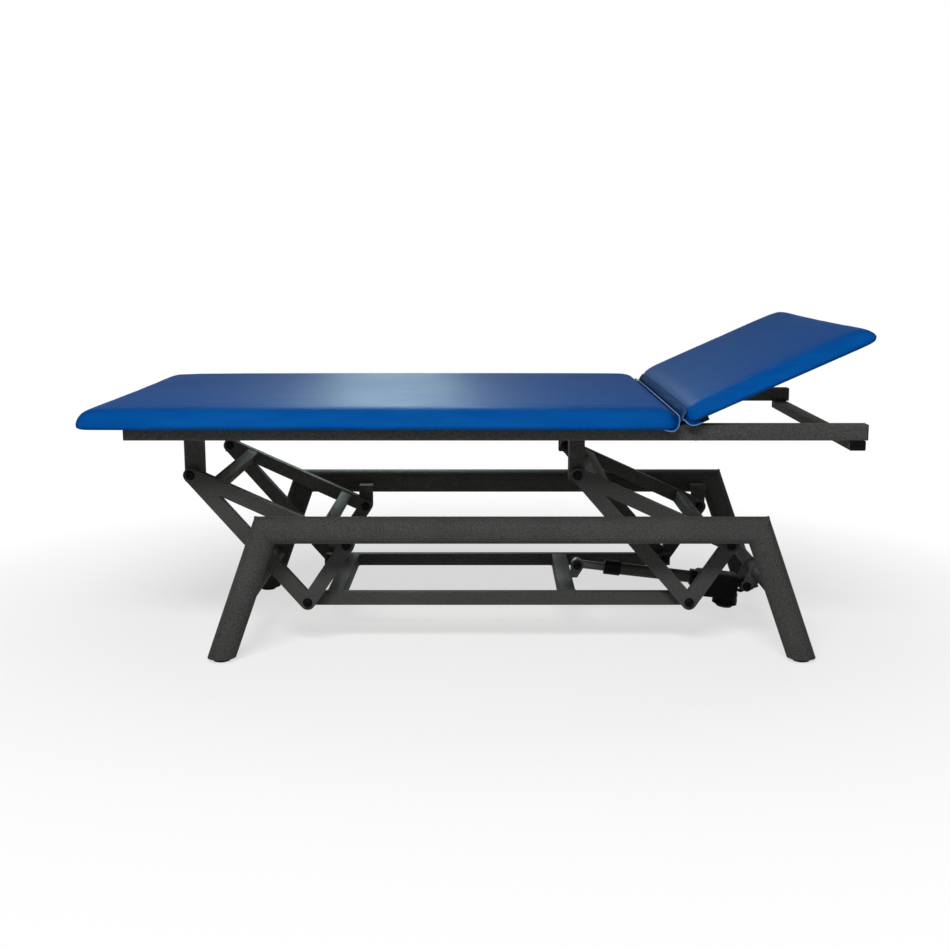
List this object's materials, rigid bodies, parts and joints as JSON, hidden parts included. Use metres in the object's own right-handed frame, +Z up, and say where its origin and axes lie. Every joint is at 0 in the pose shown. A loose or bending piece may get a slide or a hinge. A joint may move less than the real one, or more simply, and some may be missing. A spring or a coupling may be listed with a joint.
{
  "type": "bobath therapy table",
  "caption": "Wide upholstered therapy table on a splayed tube base, raised by an electric actuator through a parallelogram linkage, with a tilting head section.",
  "frame": {"origin": "floor level, under the middle of the table's outline with the head section raised as in the picture", "axes": "+X along the table towards the tilting head section, +Y across to the side away from the viewer, +Z up"},
  "size_m": [1.9788, 0.9966, 0.8721],
  "materials": {
    "powder_coat": "fine structured anthracite powder coat",
    "black_steel": "black oxide",
    "black_plastic": "fine grained black",
    "rubber": "matt black",
    "vinyl": "satin royal blue upholstery vinyl",
    "plywood": "plain birch plywood",
    "bright_steel": "ground",
    "grey_tube": "grey anodised"
  },
  "bodies": {
    "base": {"base_side_front": "powder_coat", "base_side_back": "powder_coat", "leg_tie_foot": "powder_coat", "leg_tie_head": "powder_coat", "actuator_fork_bolt": "black_steel", "foot_pad_foot_front": "rubber", "foot_pad_foot_back": "rubber", "foot_pad_head_front": "rubber", "foot_pad_head_back": "rubber", "base_bolt_foot_front": "black_steel", "base_bolt_foot_back": "black_steel", "base_bolt_head_front": "black_steel", "base_bolt_head_back": "black_steel"},
    "arm_foot": {"arm_foot_front": "powder_coat", "arm_foot_back": "powder_coat", "arm_foot_upper_tube": "powder_coat", "arm_foot_lower_tube": "powder_coat"},
    "arm_head": {"arm_head_front": "powder_coat", "arm_head_back": "powder_coat", "arm_head_upper_tube": "powder_coat", "arm_head_lower_tube": "powder_coat"},
    "top": {"rail_front": "powder_coat", "rail_back": "powder_coat", "end_tube": "powder_coat", "end_tube_cap_front": "black_plastic", "end_tube_cap_back": "black_plastic", "post_frame_foot": "powder_coat", "post_frame_head": "powder_coat", "spring_tube": "powder_coat", "main_board": "plywood", "main_cushion": "vinyl", "rail_cap_foot_front": "black_plastic", "rail_cap_foot_back": "black_plastic", "rail_cap_head_front": "black_plastic", "rail_cap_head_back": "black_plastic", "top_bolt_foot_front": "black_steel", "top_bolt_foot_back": "black_steel", "top_bolt_head_front": "black_steel", "top_bolt_head_back": "black_steel"},
    "push_frame": {"tie_bar_front": "powder_coat", "tie_bar_back": "powder_coat", "push_tube_foot": "powder_coat", "push_tube_head": "powder_coat", "rod_pin": "black_steel", "tie_bolt_foot_front": "black_steel", "tie_bolt_foot_back": "black_steel", "tie_bolt_head_front": "black_steel", "tie_bolt_head_back": "black_steel"},
    "actuator_rod": {"actuator_rod": "bright_steel"},
    "actuator_body": {"actuator_tube": "grey_tube", "actuator_collar": "black_plastic", "actuator_housing": "black_plastic", "actuator_rear_eye": "black_plastic"},
    "head": {"head_board": "plywood", "head_cushion": "vinyl", "hinge_arm_front": "powder_coat", "hinge_arm_back": "powder_coat", "spring_bracket": "powder_coat"},
    "gas_cylinder": {"gas_spring_cylinder": "black_plastic"},
    "gas_rod": {"gas_spring_rod": "bright_steel"}
  },
  "joints": [
    {"name": "lift", "type": "hinge", "parent": "base", "child": "arm_foot", "pos_m": [-0.34113, 0, 0.2894], "axis": [0, 1, 0], "range_deg": [-20, 42]},
    {"name": "lift_head_arm", "type": "hinge", "parent": "base", "child": "arm_head", "pos_m": [0.68137, 0, 0.2894], "axis": [0, 1, 0], "range_deg": [-20.5, 42.5]},
    {"name": "lift_top", "type": "hinge", "parent": "arm_foot", "child": "top", "pos_m": [-0.75069, 0, 0.47777], "axis": [0, 1, 0], "range_deg": [-42.5, 20.5]},
    {"name": "lift_push_frame", "type": "hinge", "parent": "arm_foot", "child": "push_frame", "pos_m": [-0.44832, 0, 0.1315], "axis": [0, 1, 0], "range_deg": [-42.5, 20.5]},
    {"name": "rod_turn", "type": "hinge", "parent": "push_frame", "child": "actuator_rod", "pos_m": [0.29132, 0, 0.1713], "axis": [0, 1, 0], "range_deg": [-4.8, 9.53]},
    {"name": "actuator_stroke", "type": "slide", "parent": "actuator_rod", "child": "actuator_body", "axis": [0.9931, 0, -0.1175], "range_m": [-0.05402, 0.11235]},
    {"name": "head_tilt", "type": "hinge", "parent": "top", "child": "head", "pos_m": [0.51422, 0, 0.6475], "axis": [0, -1, 0], "range_deg": [-24.2, 45.8]},
    {"name": "gas_spring_turn", "type": "hinge", "parent": "top", "child": "gas_cylinder", "pos_m": [0.38432, 0, 0.5725], "axis": [0, -1, 0], "range_deg": [-12.6, 23.4]},
    {"name": "gas_rod_turn", "type": "hinge", "parent": "head", "child": "gas_rod", "pos_m": [0.62248, 0, 0.54368], "axis": [0, -1, 0], "range_deg": [-23.4, 12.6]}
  ],
  "couplings": [
    {"joint": "lift_head_arm", "follows": "lift", "ratio": 1},
    {"joint": "lift_top", "follows": "lift", "ratio": -1},
    {"joint": "lift_push_frame", "follows": "lift", "ratio": -1},
    {"joint": "rod_turn", "follows": "lift", "ratio": 0.215},
    {"joint": "actuator_stroke", "follows": "lift", "m_per_rad": 0.1519},
    {"joint": "gas_spring_turn", "follows": "head_tilt", "ratio": 0.5},
    {"joint": "gas_rod_turn", "follows": "head_tilt", "ratio": -0.5}
  ]
}
